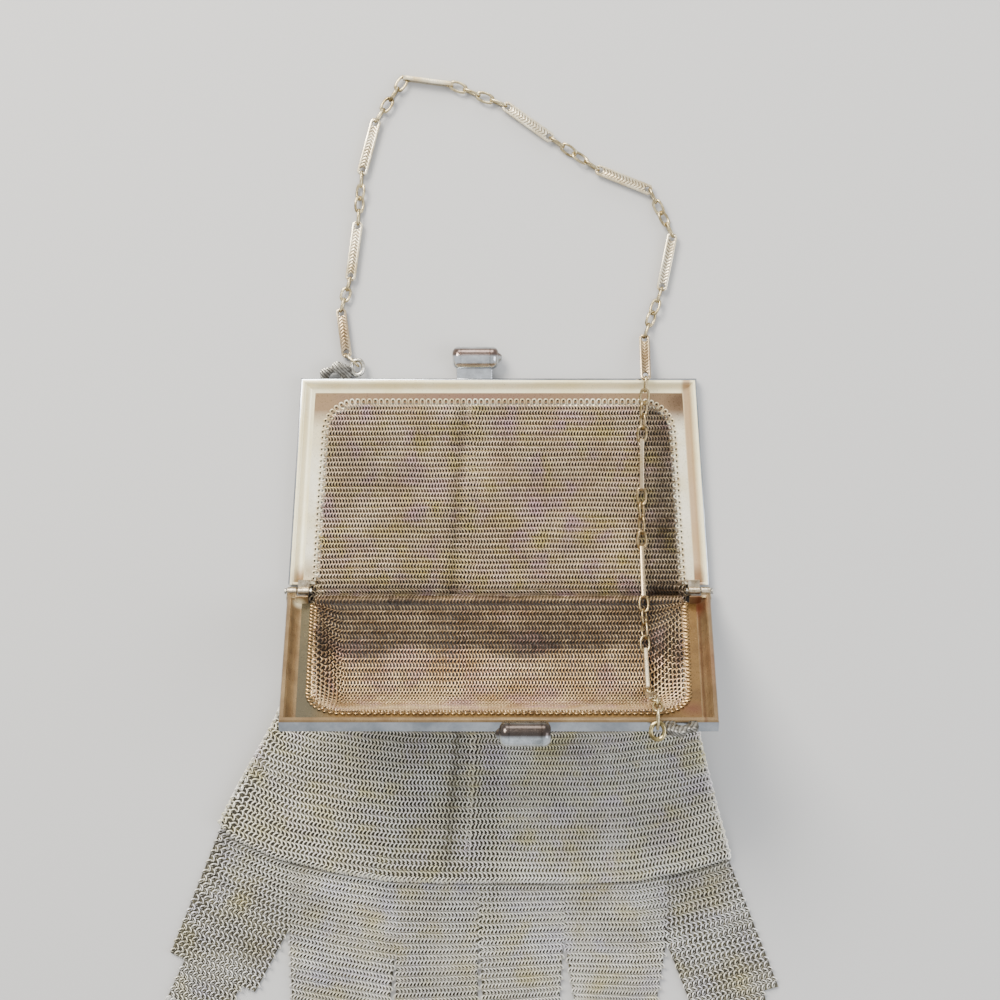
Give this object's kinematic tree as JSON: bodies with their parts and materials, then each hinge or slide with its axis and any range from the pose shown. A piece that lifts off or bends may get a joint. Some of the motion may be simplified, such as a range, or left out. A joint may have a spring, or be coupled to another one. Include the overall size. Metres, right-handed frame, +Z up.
{
  "type": "metal mesh purse",
  "caption": "Open metal mesh purse: hinged frame with clasp barrels, ring mesh pouch with a stepped fringe, and a carrying chain of engraved bars and links.",
  "frame": {"origin": "middle of the flat underside of the back frame's rail, on the table", "axes": "+Y from the fringe towards the back rail and the chain, +Z up from the table, +X to the right seen from above with +Y away"},
  "size_m": [0.193, 0.3187, 0.0711],
  "materials": {
    "frame_metal": "polished nickel silver with warm tarnish",
    "pin_metal": "worn satin",
    "mesh_metal": "bright woven rings, tarnished inside",
    "chain_metal": "pale gilt, engraved"
  },
  "bodies": {
    "root": {"back_frame": "frame_metal", "front_frame": "frame_metal", "hinge_pin_left": "pin_metal", "hinge_pin_right": "pin_metal", "mesh_pouch": "mesh_metal", "mesh_fringe": "mesh_metal", "chain": "chain_metal"}
  },
  "joints": []
}
